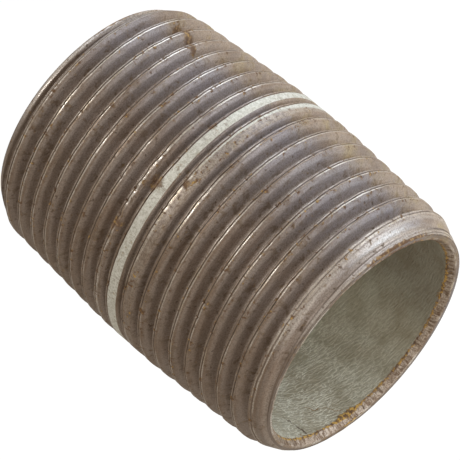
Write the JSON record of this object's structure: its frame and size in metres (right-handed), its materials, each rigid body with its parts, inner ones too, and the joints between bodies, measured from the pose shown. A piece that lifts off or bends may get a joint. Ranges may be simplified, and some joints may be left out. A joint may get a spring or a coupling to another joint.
{
  "type": "threaded pipe nipple",
  "caption": "Short open steel tube with tapered pipe threads cut from both ends to a narrow unthreaded band at mid-length, flat ends and a smooth through bore.",
  "frame": {"origin": "centre of the lower end face, on the tube's axis", "axes": "+Z along the tube's axis, from the end it stands on to the upper end; -Y is the side turned to the viewer in the usual view"},
  "size_m": [0.0266, 0.0266, 0.0339],
  "materials": {
    "threaded_steel": "bare die-cut steel thread dulled to a warm grey with specks of rust, grey-green zinc left on the middle band and inside the bore"
  },
  "bodies": {
    "root": {"pipe_nipple": "threaded_steel"}
  },
  "joints": []
}
